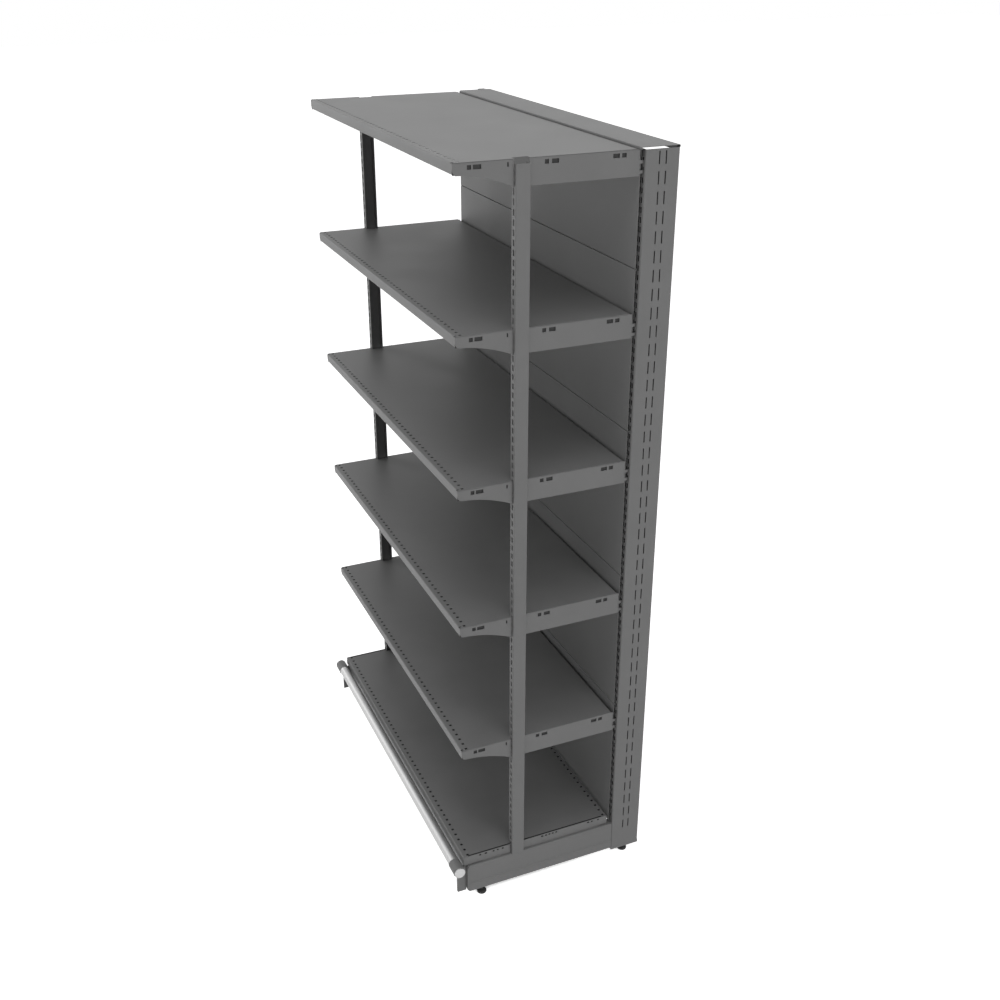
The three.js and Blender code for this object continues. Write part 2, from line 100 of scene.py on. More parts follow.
def powder_coat(name, colour, rubbed):
    """Polyester powder coat, sprayed dry and baked: a satin skin with orange peel about 1.5 mm wide,
    drawn at 4 mm so that it shows. Colour drifts a little over hand-sized areas, where hands rub it."""
    material, tree, shader = new_material(name)
    place = add_node(tree, "ShaderNodeTexCoord")
    spot = {"Vector": (place, "Object")}
    peel = add_node(tree, "ShaderNodeTexNoise", {"Scale": 1 / PEEL_WIDTH, "Detail": 2.0}, spot)
    drift = add_node(tree, "ShaderNodeTexNoise", {"Scale": DRIFTS_PER_METRE, "Detail": 3.0}, spot)
    tone = add_node(tree, "ShaderNodeValToRGB", {}, {"Fac": (drift, "Fac")})
    tone.color_ramp.elements[0].position = 0.3
    tone.color_ramp.elements[1].position = 0.7
    tone.color_ramp.elements[0].color = linear(colour)
    tone.color_ramp.elements[1].color = linear(rubbed)
    gloss = add_node(
        tree, "ShaderNodeMapRange", {"To Min": 0.42, "To Max": 0.58}, {"Value": (drift, "Fac")}
    )
    bump = add_node(
        tree, "ShaderNodeBump", {"Strength": 0.12, "Distance": 0.0006}, {"Height": (peel, "Fac")}
    )
    tree.links.new(tone.outputs["Color"], shader.inputs["Base Color"])
    tree.links.new(gloss.outputs["Result"], shader.inputs["Roughness"])
    tree.links.new(bump.outputs["Normal"], shader.inputs["Normal"])
    shader.inputs["IOR"].default_value = 1.5
    shader.inputs["Specular IOR Level"].default_value = 0.3
    return material


coat = powder_coat("powder_coat_grey", POWDER_COAT_GREY, POWDER_COAT_RUBBED)
# Two darker copies of the coat paint shade on hidden faces: mid grey in the post channels, near black
# elsewhere.
channel_shade_coat = powder_coat("painted_channel_shade_coat", CHANNEL_SHADE_GREY, CHANNEL_SHADE_DRIFT)
deep_shade_coat = powder_coat("painted_deep_shade_inside", DEEP_SHADE_GREY, DEEP_SHADE_DRIFT)


def folded(corners, radius, steps=4):
    """Cross-section of a bent strip: the points of the straight runs between corners, where each inner
    corner becomes an arc. With unit directions d and e before and after a corner and turn a between them,
    the arc is start + d r sin(t) + n r (1 - cos(t)) for t from 0 to a, and starts r tan(a/2) before it."""
    c = np.asarray(corners, float)
    step = np.diff(c, axis=0)
    unit = step / np.linalg.norm(step, axis=1, keepdims=True)
    d, e = unit[:-1], unit[1:]
    cross = d[:, 0] * e[:, 1] - d[:, 1] * e[:, 0]
    turn = np.arctan2(cross, (d * e).sum(1))
    r = np.broadcast_to(np.asarray(radius, float), turn.shape)
    normal = np.stack([-d[:, 1], d[:, 0]], 1) * np.sign(turn)[:, None]
    start = c[1:-1] - d * (r * np.tan(np.abs(turn) / 2))[:, None]
    t = np.linspace(0, 1, steps + 1)[None, :] * np.abs(turn)[:, None]
    arc = (
        start[:, None]
        + d[:, None] * (r[:, None] * np.sin(t))[..., None]
        + normal[:, None] * (r[:, None] * (1 - np.cos(t)))[..., None]
    )
    return np.vstack([c[:1], arc.reshape(-1, 2), c[-1:]])


def lengths(section):
    """Distance along a cross-section from its first point to each point."""
    return np.concatenate([[0.0], np.cumsum(np.linalg.norm(np.diff(section, axis=0), axis=1))])


def sheet(section, run, openings, place, closed=False, flip=False):
    """A cross-section carried along a run, as a grid of quads. Grid lines pass every section point and every
    edge of an opening, and a cell is left out where its middle lies in an opening. An opening is
    (low, high, lows, highs): one band along the section and a row of spans along the run. place turns
    (u, v, t) into x, y and z. closed joins the section's last point to its first, and flip turns faces."""
    s = lengths(section)
    bands = [edge for low, high, _, _ in openings for edge in (low, high)]
    spans = [np.ravel(edges) for _, _, lows, highs in openings for edges in (lows, highs)]
    s_lines = np.unique(np.round(np.concatenate([s, np.clip(bands, 0, s[-1])]), 7))
    t_lines = np.unique(np.round(np.concatenate([run, *spans]), 7))
    t_lines = t_lines[(t_lines >= min(run) - 1e-7) & (t_lines <= max(run) + 1e-7)]
    u = np.interp(s_lines, s, section[:, 0])[:, None]
    v = np.interp(s_lines, s, section[:, 1])[:, None]
    t = t_lines[None, :]
    s_mid = (s_lines[1:] + s_lines[:-1]) / 2
    t_mid = (t_lines[1:] + t_lines[:-1]) / 2
    keep = np.ones((s_mid.size, t_mid.size), bool)
    for low, high, lows, highs in openings:
        in_band = (s_mid > low) & (s_mid < high)
        in_span = ((t_mid[:, None] > np.ravel(lows)) & (t_mid[:, None] < np.ravel(highs))).any(1)
        keep &= ~np.outer(in_band, in_span)
    grid = np.stack(np.broadcast_arrays(*place(u, v, t)), -1)
    index = np.arange(s_lines.size * t_lines.size).reshape(s_lines.size, t_lines.size)
    if closed:
        index[-1] = index[0]
    quads = np.stack([index[:-1, :-1], index[1:, :-1], index[1:, 1:], index[:-1, 1:]], -1)[keep]
    return grid.reshape(-1, 3), quads[:, ::-1] if flip else quads


def piece(
    name, surfaces, materials, body, replaced,
    thickness=0.0, offset=-1.0, smooth=None, bevel=0.0, shades=None,
):
    """One object from one or more grids of quads, with the sheet's thickness, materials and its place in
    the frame. Points that no quad uses are dropped, and a quad with a repeated point, at a pole, becomes a
    triangle. shades gives each grid's material by its number, where it isn't the first."""
    starts = np.cumsum([0] + [len(points) for points, _ in surfaces[:-1]])
    points = np.vstack([p for p, _ in surfaces])
    quads = np.vstack([q + start for (_, q), start in zip(surfaces, starts)])
    used, quads = np.unique(quads, return_inverse=True)
    quads = quads.reshape(-1, 4)
    repeated = quads == np.roll(quads, -1, axis=1)
    at_pole = repeated.any(1)
    triangles = quads[at_pole][~repeated[at_pole]].reshape(-1, 3)
    mesh = bpy.data.meshes.new(name)
    mesh.from_pydata(points[used].tolist(), [], quads[~at_pole].tolist() + triangles.tolist())
    obj = bpy.data.objects.new(name, mesh)
    bpy.context.scene.collection.objects.link(obj)
    for material in materials:
        mesh.materials.append(material)
    if shades:
        shade = np.repeat(shades, [len(q) for _, q in surfaces])
        mesh.polygons.foreach_set("material_index", np.concatenate([shade[~at_pole], shade[at_pole]]))
    if smooth:
        mesh.polygons.foreach_set("use_smooth", np.ones(len(mesh.polygons), bool))
        mesh.set_sharp_from_angle(angle=math.radians(smooth))
    if thickness:
        wall = obj.modifiers.new("wall", "SOLIDIFY")
        wall.thickness = thickness
        wall.offset = offset
        wall.use_even_offset = True
        # The inner shell takes the last material, which paints shade where it is one of the darker shade
        # coats.
        wall.material_offset = len(materials) - 1
    if bevel:
        edge = obj.modifiers.new("edge", "BEVEL")
        edge.width = bevel
        edge.segments = 2
    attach(obj, body)
    if replaced:
        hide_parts(*replaced)
    return obj


def corners_of(node):
    """Lowest and highest corner of a CAD node as two arrays."""
    low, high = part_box(node)
    return np.array(low), np.array(high)


def centred_row(centres, length):
    """Low and high ends of like spans about their centres."""
    centres = np.asarray(centres, float)
    return centres - length / 2, centres + length / 2


# A strip's point 0 is its free edge, and each folded corner after it has five points: first and last here.
SECOND_CORNER = (6, 10)
THIRD_CORNER = (11, 15)
SIDES = {"right": 1, "left": -1}
post_low, post_high = corners_of("front_post_right")
FIRST_SLOT = 33 * MM
SLOT_COUNT = int((post_high[2] - post_low[2] - FIRST_SLOT) / SLOT_PITCH) + 1
slot_heights = post_low[2] + FIRST_SLOT + np.arange(SLOT_COUNT) * SLOT_PITCH
hook_slots = centred_row(slot_heights, SLOT_HEIGHT)

upright_low, upright_high = corners_of("upright_right")
inner, front = upright_low[:2]
outer, rear = upright_high[:2]
middle = (front + rear) / 2
upright_corners = [
    (inner, middle), (inner, front), (outer, front), (outer, rear), (inner, rear), (inner, middle)
]
upright_section = folded(upright_corners, UPRIGHT_FOLD)
along = lengths(upright_section)
wall_end, wall_start = SECOND_CORNER
front_end = along[wall_end] + outer - upright_section[wall_end, 0]
outer_middle = along[wall_start] + middle - upright_section[wall_start, 1]
slit_count = int((upright_high[2] - upright_low[2] - 2 * SLIT_FROM_TOP) / SLIT_PITCH)
slits = centred_row(upright_high[2] - SLIT_FROM_TOP - np.arange(slit_count) * SLIT_PITCH, SLIT_LENGTH)
lowered = ([upright_high[2] - INNER_WALL_DROP], [upright_high[2]])
upright_openings = [
    (outer_middle + y - SLIT_WIDTH / 2, outer_middle + y + SLIT_WIDTH / 2, *slits) for y in SLIT_COLUMNS
] + [
    (front_end - x - UPRIGHT_SLOT_WIDTH / 2, front_end - x + UPRIGHT_SLOT_WIDTH / 2, *hook_slots)
    for x in UPRIGHT_SLOT_INSETS
] + [(0.0, along[1], *lowered), (along[-2], along[-1], *lowered)]
for side, sign in SIDES.items():
    surface = sheet(
        upright_section, (upright_low[2], upright_high[2]), upright_openings,
        lambda u, v, t: (sign * u, v, t), closed=True, flip=sign < 0,
    )
    # The inner faces take the near black painted shade.
    piece(
        f"slotted_upright_{side}", [surface], [coat, deep_shade_coat], "frame", [f"upright_{side}"],
        UPRIGHT_WALL,
    )

# Front posts: C sections of the same steel, open towards the bay, that stand on the base legs.
# The front flange has a full column of hook slots, and the rear one only those that bracket tabs use.
FIT = 0.3 * MM
POST_FOLD = 3.0 * MM
HOOK_RISE = 6 * MM
POST_SLOT_WIDTH = 9.0 * MM
inner, front = post_low[:2]
outer, rear = post_high[:2]
post_section = folded([(inner, front), (outer, front), (outer, rear), (inner, rear)], POST_FOLD)
total = lengths(post_section)[-1]
half_width = (outer - inner) / 2
LEVELS = range(1, 6)
HOOKS = np.arange(2)
bracket_feet = np.array([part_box(f"rear_bracket_{level}_right")[0][2] for level in LEVELS])
tab_heights = bracket_feet[:, None] + HOOK_RISE - FIT + SLOT_HEIGHT / 2 + SLOT_PITCH * HOOKS
tab_slots = centred_row(tab_heights.ravel(), SLOT_HEIGHT)
post_openings = [
    (flange - POST_SLOT_WIDTH / 2, flange + POST_SLOT_WIDTH / 2, *slots)
    for flange, slots in ((half_width, hook_slots), (total - half_width, tab_slots))
]
for side, sign in SIDES.items():
    surface = sheet(
        post_section, (post_low[2], post_high[2]), post_openings,
        lambda u, v, t: (sign * u, v, t), flip=sign < 0,
    )
    # The channel's inner faces take the mid grey painted shade.
    piece(
        f"slotted_post_{side}", [surface], [coat, channel_shade_coat], "frame", [f"front_post_{side}"],
        UPRIGHT_WALL,
    )

# Back panels: steel sheets in the same coat with their long edges folded back, one above another.
# A strip near each end hooks into the uprights.
PANEL_SHEET = 1.2 * MM
PANEL_TOP_FOLD = 0.8 * MM
PANEL_BOTTOM_FOLD = 4.0 * MM
STRIP_INSET = 8 * MM
panels = sorted(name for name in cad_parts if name.startswith("back_panel_"))
for name in panels:
    low, high = corners_of(name)
    panel_section = folded(
        [(high[1], low[2]), (low[1], low[2]), (low[1], high[2]), (high[1], high[2])],
        [PANEL_BOTTOM_FOLD, PANEL_TOP_FOLD],
    )
    face = sheet(panel_section, (low[0], high[0]), [], lambda u, v, t: (t, u, v), flip=True)
    strips = [
        sheet(
            np.array([(low[1] + PANEL_SHEET, 0.0), (high[1], 0.0)]),
            (low[2] + PANEL_BOTTOM_FOLD, high[2] - PANEL_BOTTOM_FOLD), [],
            lambda u, v, t: (x + 0 * t, u, t),
        )
        for x in (low[0] + STRIP_INSET, high[0] - STRIP_INSET)
    ]
    piece(
        f"folded_{name}", [face, *strips], [coat], "frame", [name], PANEL_SHEET
    )

# Shelf brackets: flat steel plates in two lengths. The rear one spans from upright to post, and the front
# one is a cantilever with an arched underside. Hooks on their ends pass the slots, and each plate has
# punched cut-outs.
BRACKET_PLATE = 2.5 * MM
BRACKET_HEIGHT = 65 * MM
CUTOUT_TOP = 5.6 * MM
CUTOUT_BOTTOM = 16.6 * MM
LEVEL_BAND = 22 * MM
TIP_DEPTH = 18 * MM
TIP_SLOPE = 1.9
NOSE_DEPTH = 29 * MM
BRACKET_REAR_GAP = 10 * MM
HOOK_NECK = 8 * MM
HOOK_DROP = 6 * MM
HOOK_LIP = 4 * MM
FRONT_CUTOUTS = ((37.2 * MM, 48.1 * MM), (52.1 * MM, 73.8 * MM), (140 * MM, 144 * MM))
POST_CUTOUTS = ((40.5 * MM, 51.5 * MM), (59.5 * MM, 78.5 * MM))
UPRIGHT_CUTOUTS = ((47.8 * MM, 60.7 * MM), (66.6 * MM, 85.4 * MM))
ARCH_LINES = 40
BRACKET_ROWS = 5


def bracket_plate(x, top, run, depth, openings, flip):
    """A plate at x whose upper edge is at top. Down to the level band it is measured straight down, and below
    the band its rows are spread evenly to the underside, whose depth under the top is a function of y."""
    rows = np.concatenate([[0.0, LEVEL_BAND], np.linspace(LEVEL_BAND, BRACKET_HEIGHT, BRACKET_ROWS)[1:]])
    section = np.stack([rows, 0 * rows], 1)

    def place(u, v, t):
        spread = (depth(t) - LEVEL_BAND) / (BRACKET_HEIGHT - LEVEL_BAND)
        under = np.where(u <= LEVEL_BAND, np.minimum(u, depth(t)), LEVEL_BAND + (u - LEVEL_BAND) * spread)
        return x + 0 * under, t + 0 * under, top - np.minimum(under, depth(t))

    return sheet(section, run, openings, place, flip=flip)


def bracket_hooks(x, bottom, end, wall, direction, drop):
    """Hooks on a bracket's end: a neck through the wall and a lip behind it that drops."""
    behind = wall + direction * (UPRIGHT_WALL + FIT)
    lip = (behind, behind + direction * HOOK_LIP)
    surfaces = []
    for hook in HOOKS:
        low = bottom + HOOK_RISE + hook * SLOT_PITCH
        stretches = [((end, lip[0]), low), (lip, low - drop)]
        surfaces += [
            sheet(
                np.array([(foot, 0.0), (low + HOOK_NECK, 0.0)]), sorted(span), [],
                lambda u, v, t: (x + 0 * t + 0 * u, t + 0 * u, u + 0 * t),
            )
            for span, foot in stretches
        ]
    return surfaces


def arch_depth(y, front, post):
    """Depth of the front bracket's underside: nose depth plus the rest times the square of the way to the
    post, and no more than the slanted tip allows."""
    way = np.clip((y - front) / (post - front), 0, 1)
    arch = NOSE_DEPTH + (BRACKET_HEIGHT - NOSE_DEPTH) * way ** 2
    return np.minimum(arch, TIP_DEPTH + TIP_SLOPE * (y - front))


def level_depth(y):
    """Depth of the rear bracket's underside, the same all along."""
    return BRACKET_HEIGHT + 0 * y


shelf_front = corners_of("shelf_1")[0][1]
post_end = post_low[1] - FIT
rear_run = (post_high[1] + FIT, upright_low[1] - BRACKET_REAR_GAP)
front_spans = np.array(FRONT_CUTOUTS) + shelf_front
rear_spans = np.vstack([
    post_high[1] + np.array(POST_CUTOUTS),
    upright_low[1] - np.array(UPRIGHT_CUTOUTS)[:, ::-1],
])
for level in LEVELS:
    for side, sign in SIDES.items():
        x = sign * (post_low[0] + post_high[0]) / 2
        name = f"front_bracket_{level}_{side}"
        low, high = corners_of(name)
        arm = bracket_plate(
            x, high[2], np.linspace(shelf_front, post_end, ARCH_LINES),
            lambda y: arch_depth(y, shelf_front, post_end),
            [(CUTOUT_TOP, CUTOUT_BOTTOM, front_spans[:, 0], front_spans[:, 1])], sign < 0,
        )
        hooks = bracket_hooks(x, low[2], post_end, post_low[1], 1, HOOK_DROP)
        piece(
            f"arched_{name}", [arm, *hooks], [coat], "frame", [name],
            BRACKET_PLATE, offset=0.0,
        )
        name = f"rear_bracket_{level}_{side}"
        low, high = corners_of(name)
        openings = [(CUTOUT_TOP, CUTOUT_BOTTOM, rear_spans[:, 0], rear_spans[:, 1])]
        arm = bracket_plate(x, high[2], rear_run, level_depth, openings, sign < 0)
        hooks = bracket_hooks(x, low[2], rear_run[1], upright_low[1], 1, HOOK_DROP)
        tabs = bracket_hooks(x, low[2], rear_run[0], post_high[1], -1, 0.0)
        piece(
            f"punched_{name}", [arm, *hooks, *tabs], [coat], "frame", [name],
            BRACKET_PLATE, offset=0.0,
        )

# Shelf trays: sheet steel with a rolled nose, lips under nose and back, and end flanges that drop inside the
# brackets. A row of small holes for dividers runs along the front, and notches clear the posts. The base tray
# stands on the legs. It has holes at the back too, and a slit with a folded seam under it along each end.
TRAY_SHEET = 1.2 * MM
NOSE_TOP_FOLD = 3.0 * MM
NOSE_UNDER_FOLD = 7.0 * MM
NOSE_LIP = 64 * MM
REAR_LIP = 28 * MM
REAR_UNDER_FOLD = 3.0 * MM
HOLE_PITCH = 25 * MM
HOLES_EACH_SIDE = 24
HOLE_SIZE = 7.5 * MM
HOLE_FROM_NOSE = 17 * MM
BASE_HOLE_FROM_REAR = 10.5 * MM
NOSE_NOTCH = (3 * MM, 8 * MM)
NOSE_NOTCH_LAP = 4 * MM
NOTCH_ROOM = 1.5 * MM
BRACKET_ROOM = 3.1 * MM
BASE_SLIT_INSETS = (2.4 * MM, 7.4 * MM)
BASE_SLIT_FROM_END = 14 * MM
BASE_NOTCH_BAND = (3.0 * MM, 9.0 * MM)
BASE_FRONT_NOTCHES = (
    (52 * MM, 58 * MM), (70 * MM, 78 * MM), (97 * MM, 103 * MM), (111 * MM, 117 * MM), (128 * MM, 134 * MM),
)
BASE_REAR_NOTCHES = (
    (64 * MM, 72 * MM), (78 * MM, 84 * MM), (90 * MM, 96 * MM), (102 * MM, 108 * MM), (114 * MM, 120 * MM),
    (226 * MM, 234 * MM), (240 * MM, 246 * MM), (262 * MM, 268 * MM),
)
SEAM_LAP = 4.0 * MM
SEAM_DEPTH = 2.2 * MM
SEAM_ROOM = 8 * MM
HEM_INSET = 2.5 * MM
HEM_DROP = 14 * MM
tray_bodies = {f"shelf_{i}": f"shelf_{i}_tray" for i in LEVELS} | {"base_shelf": "base_tray"}
for name, body in tray_bodies.items():
    low, high = corners_of(name)
    top = high[2]
    on_legs = name == "base_shelf"
    end = high[0] if on_legs else high[0] - BRACKET_ROOM
    tray_section = folded(
        [
            (high[1] - REAR_LIP, low[2]),
            (high[1], low[2]),
            (high[1], top),
            (low[1], top),
            (low[1], low[2]),
            (low[1] + NOSE_LIP, low[2]),
        ],
        [REAR_UNDER_FOLD, NOSE_TOP_FOLD, NOSE_TOP_FOLD, NOSE_UNDER_FOLD],
    )
    along = lengths(tray_section)
    flat_start = along[SECOND_CORNER[1]]
    flat_end, nose_front = along[list(THIRD_CORNER)]
    flat_from = flat_start + tray_section[SECOND_CORNER[1], 0]
    row_places = [flat_from - low[1] - HOLE_FROM_NOSE]
    if on_legs:
        row_places.append(flat_from - high[1] + BASE_HOLE_FROM_REAR)
    holes = centred_row(HOLE_PITCH * np.arange(-HOLES_EACH_SIDE, HOLES_EACH_SIDE + 1), HOLE_SIZE)
    openings = [(row - HOLE_SIZE / 2, row + HOLE_SIZE / 2, *holes) for row in row_places]
    notch = (flat_from - post_high[1] - NOTCH_ROOM, flat_from - post_low[1] + NOTCH_ROOM)
    notch_x = post_low[0] - NOTCH_ROOM
    openings.append((*notch, [-high[0], notch_x], [-notch_x, high[0]]))
    if on_legs:
        near, far = end - np.array(BASE_SLIT_INSETS)
        slit_ends = (flat_start + BASE_SLIT_FROM_END, flat_end - BASE_SLIT_FROM_END)
        openings.append((*slit_ends, [-near, far], [-far, near]))
        seam_edges = np.array([far - SEAM_LAP, end - TRAY_SHEET])
    else:
        openings.append((0.0, flat_start, [-high[0], end], [-end, high[0]]))
        openings.append((flat_end, along[-1], [-high[0], end], [-end, high[0]]))
        near, far = end - np.array(NOSE_NOTCH)
        openings.append((flat_end - NOSE_NOTCH_LAP, nose_front, [-near, far], [-far, near]))
    shell = sheet(tray_section, (low[0], high[0]), openings, lambda u, v, t: (t, u, v))
    notch_low, notch_high = np.vstack([
        low[1] + np.array(BASE_FRONT_NOTCHES),
        post_high[1] + np.array(BASE_REAR_NOTCHES),
    ]).T
    notch_top, notch_bottom = top - low[2] - np.array(BASE_NOTCH_BAND)
    side_openings = [] if not on_legs else [(notch_bottom, notch_top, notch_low, notch_high)]
    seam_stretches = (
        (low[1] + SEAM_ROOM, post_low[1] - NOTCH_ROOM),
        (post_high[1] + NOTCH_ROOM, high[1] - SEAM_ROOM),
    )
    seams = [] if not on_legs else [
        sheet(
            np.array([(seam_front, 0.0), (seam_rear, 0.0)]), sorted(sign * seam_edges), [],
            lambda u, v, t: (t + 0 * u, u + 0 * t, top - SEAM_DEPTH + 0 * u + 0 * t), flip=True,
        )
        for sign in (1, -1)
        for seam_front, seam_rear in seam_stretches
    ] + [
        sheet(
            np.array([(top - HEM_DROP, 0.0), (top - SEAM_DEPTH, 0.0)]), stretch, [],
            lambda u, v, t: (sign * (end - HEM_INSET) + 0 * t + 0 * u, t + 0 * u, u + 0 * t), flip=sign > 0,
        )
        for sign in (1, -1)
        for stretch in seam_stretches
    ]
    stretches = (
        (low[1] + TRAY_SHEET, post_low[1] - NOTCH_ROOM),
        (post_high[1] + NOTCH_ROOM, high[1] - TRAY_SHEET),
    )
    flanges = [
        sheet(
            np.array([(low[2], 0.0), (top - TRAY_SHEET, 0.0)]), stretch, side_openings,
            lambda u, v, t: (sign * end + 0 * t + 0 * u, t + 0 * u, u + 0 * t), flip=sign > 0,
        )
        for sign in (1, -1)
        for stretch in stretches
    ]
    # Inner faces take the near black painted shade, as do both faces of the hung trays' end flanges and of
    # the seam strips.
    piece(
        f"folded_{name}", [shell, *flanges, *seams], [coat, deep_shade_coat], body, [name],
        TRAY_SHEET,
        shades=[0] + [0 if on_legs else 1] * len(flanges) + [1] * len(seams),
    )

# Top cover: a folded strip of the same sheet over the uprights, with a short fold along each long edge.
# A dark rubber pad between it and each upright leaves a gap under its end.
COVER_SHEET = 1.5 * MM
COVER_FOLD = 2.0 * MM
PAD_FROM_REAR = (10 * MM, 32 * MM)
PAD_LAP = 20 * MM
PAD_EDGE = 0.5 * MM
RUBBER_BLACK = "#262626"
RUBBER_GRAIN = "#383838"
GRAIN_WIDTH = 2 * MM


def dull_rubber(name, colour):
    """Moulded black rubber or plastic: matt, with a fine spark-eroded grain about 0.8 mm wide, drawn at 2 mm
    so that it shows."""
    material, tree, shader = new_material(name)
    place = add_node(tree, "ShaderNodeTexCoord")
    grain = add_node(
        tree, "ShaderNodeTexNoise", {"Scale": 1 / GRAIN_WIDTH, "Detail": 2.0}, {"Vector": (place, "Object")}
    )
    tone = add_node(tree, "ShaderNodeValToRGB", {}, {"Fac": (grain, "Fac")})
    tone.color_ramp.elements[0].color = linear(colour)
    tone.color_ramp.elements[1].color = linear(RUBBER_GRAIN)
    bump = add_node(
        tree, "ShaderNodeBump", {"Strength": 0.25, "Distance": 0.0004}, {"Height": (grain, "Fac")}
    )
    tree.links.new(tone.outputs["Color"], shader.inputs["Base Color"])
    tree.links.new(bump.outputs["Normal"], shader.inputs["Normal"])
    shader.inputs["Roughness"].default_value = 0.7
    return material


def bar(low, high):
    """The six faces of an upright block between two corners."""
    ring = [(0, 0), (1, 0), (1, 1), (0, 1)]
    pick = np.array([(*corner, level) for level in (0, 1) for corner in ring])
    points = np.where(pick == 1, np.asarray(high, float), np.asarray(low, float))
    quads = np.array([[0, 3, 2, 1], [4, 5, 6, 7], [0, 1, 5, 4], [1, 2, 6, 5], [2, 3, 7, 6], [3, 0, 4, 7]])
    return points, quads


black_rubber = dull_rubber("moulded_black_rubber", RUBBER_BLACK)
low, high = corners_of("top_cover")
cover_x = (FIT - upright_low[0], high[0])
cover_section = folded(
    [(high[1], low[2]), (high[1], high[2]), (low[1], high[2]), (low[1], low[2])], COVER_FOLD
)
strip = sheet(cover_section, cover_x, [], lambda u, v, t: (t, u, v))
# The cover's underside takes the near black painted shade.
piece("folded_top_cover", [strip], [coat, deep_shade_coat], "cover", ["top_cover"], COVER_SHEET)
pad_top = high[2] - COVER_SHEET
for side, span in {
    "right": (upright_low[0], upright_high[0]), "left": (-upright_high[0], cover_x[0] + PAD_LAP)
}.items():
    pad = bar(
        (span[0], high[1] - PAD_FROM_REAR[1], low[2]), (span[1], high[1] - PAD_FROM_REAR[0], pad_top)
    )
    piece(f"cover_pad_{side}", [pad], [black_rubber], "cover", [], bevel=PAD_EDGE)

# Base legs: pressed C sections between upright and front, open towards the middle, with a step along the
# web. The kick plate is a folded sheet with closed ends across their front ends.
LEG_WALL = 2.0 * MM
LEG_FOLD = 3.5 * MM
STEP_RISE = 30 * MM
STEP_HEIGHT = 2.5 * MM
STEP_DEPTH = 2.5 * MM
STEP_FOLD = 0.8 * MM
leg_low, leg_high = corners_of("base_leg_right")
step = leg_low[2] + STEP_RISE
web = leg_high[0] - STEP_DEPTH
leg_section = folded(
    [
        (leg_low[0], leg_low[2]),
        (leg_high[0], leg_low[2]),
        (leg_high[0], step),
        (web, step + STEP_HEIGHT),
        (web, leg_high[2]),
        (leg_low[0], leg_high[2]),
    ],
    [LEG_FOLD, STEP_FOLD, STEP_FOLD, LEG_FOLD],
)
for side, sign in SIDES.items():
    surface = sheet(
        leg_section, (leg_low[1], leg_high[1]), [], lambda u, v, t: (sign * u, t, v), flip=sign > 0
    )
    # The legs' inner faces take the near black painted shade.
    piece(
        f"pressed_leg_{side}", [surface], [coat, deep_shade_coat], "frame", [f"base_leg_{side}"],
        LEG_WALL,
    )
low, high = corners_of("kick_plate")
kick_section = folded(
    [(high[1], low[2]), (low[1], low[2]), (low[1], high[2]), (high[1], high[2])], COVER_FOLD
)
surface = sheet(kick_section, (low[0], high[0]), [], lambda u, v, t: (t, u, v), flip=True)
kick_ends = [
    sheet(
        np.array([(low[2] + COVER_FOLD, 0.0), (high[2] - COVER_FOLD, 0.0)]),
        (low[1] + COVER_SHEET, high[1]), [],
        lambda u, v, t: (x + 0 * t + 0 * u, t + 0 * u, u + 0 * t), flip=x > 0,
    )
    for x in (low[0], high[0])
]
piece(
    "folded_kick_plate", [surface, *kick_ends], [coat], "frame", ["kick_plate"],
    COVER_SHEET,
)

# Bumper rail: a drawn aluminium tube on two brackets, in front of the base shelf's nose.
# A turned plug closes each end, and a grey coated sleeve sits near it.
TUBE_WALL = 1.5 * MM
TUBE_EDGE = 0.6 * MM
TUBE_SIDES = 48
ROUND_ANGLE = 40
PLUG_DISH = 0.8 * MM
PLUG_RIM = 2.5 * MM
PLUG_FLANGE = 1.5 * MM
ALUMINIUM_SILVER = "#b8b8b8"
DRAW_LINE_STRETCH = (4.0, 650.0, 650.0)


def turned_along_x(profile, place, sides, closed):
    """A profile of (radius, x) pairs turned round a line along x: y is r cos(a) and z is r sin(a).
    closed joins the profile's last point to its first, and points on the axis become one."""
    radius, x = np.asarray(profile, float).T
    angle = np.arange(sides) / sides * 2 * np.pi
    grid = np.stack(
        np.broadcast_arrays(
            place[0] + x[:, None],
            place[1] + radius[:, None] * np.cos(angle),
            place[2] + radius[:, None] * np.sin(angle),
        ),
        -1,
    )
    index = np.arange(radius.size * sides).reshape(radius.size, sides)
    index = np.where(radius[:, None] < 1e-6, index[:, :1], index)
    if closed:
        index = np.vstack([index, index[:1]])
    index = np.hstack([index, index[:, :1]])
    quads = np.stack([index[:-1, :-1], index[1:, :-1], index[1:, 1:], index[:-1, 1:]], -1)
    return grid.reshape(-1, 3), quads.reshape(-1, 4)


def drawn_aluminium(name, colour):
    """Drawn and anodised aluminium: bright and satin, with fine draw lines along the tube, about 0.4 mm
    apart, drawn at 1.5 mm so that they show."""
    material, tree, shader = new_material(name)
    place = add_node(tree, "ShaderNodeTexCoord")
    stretch = add_node(
        tree, "ShaderNodeMapping", {"Scale": DRAW_LINE_STRETCH}, {"Vector": (place, "Object")}
    )
    lines = add_node(
        tree, "ShaderNodeTexNoise", {"Scale": 1.0, "Detail": 2.0}, {"Vector": (stretch, "Vector")}
    )
    gloss = add_node(
        tree, "ShaderNodeMapRange", {"To Min": 0.45, "To Max": 0.6}, {"Value": (lines, "Fac")}
    )
    bump = add_node(
        tree, "ShaderNodeBump", {"Strength": 0.1, "Distance": 0.0003}, {"Height": (lines, "Fac")}
    )
    shader.inputs["Base Color"].default_value = linear(colour)
    shader.inputs["Metallic"].default_value = 0.9
    tree.links.new(gloss.outputs["Result"], shader.inputs["Roughness"])
    tree.links.new(bump.outputs["Normal"], shader.inputs["Normal"])
    return material


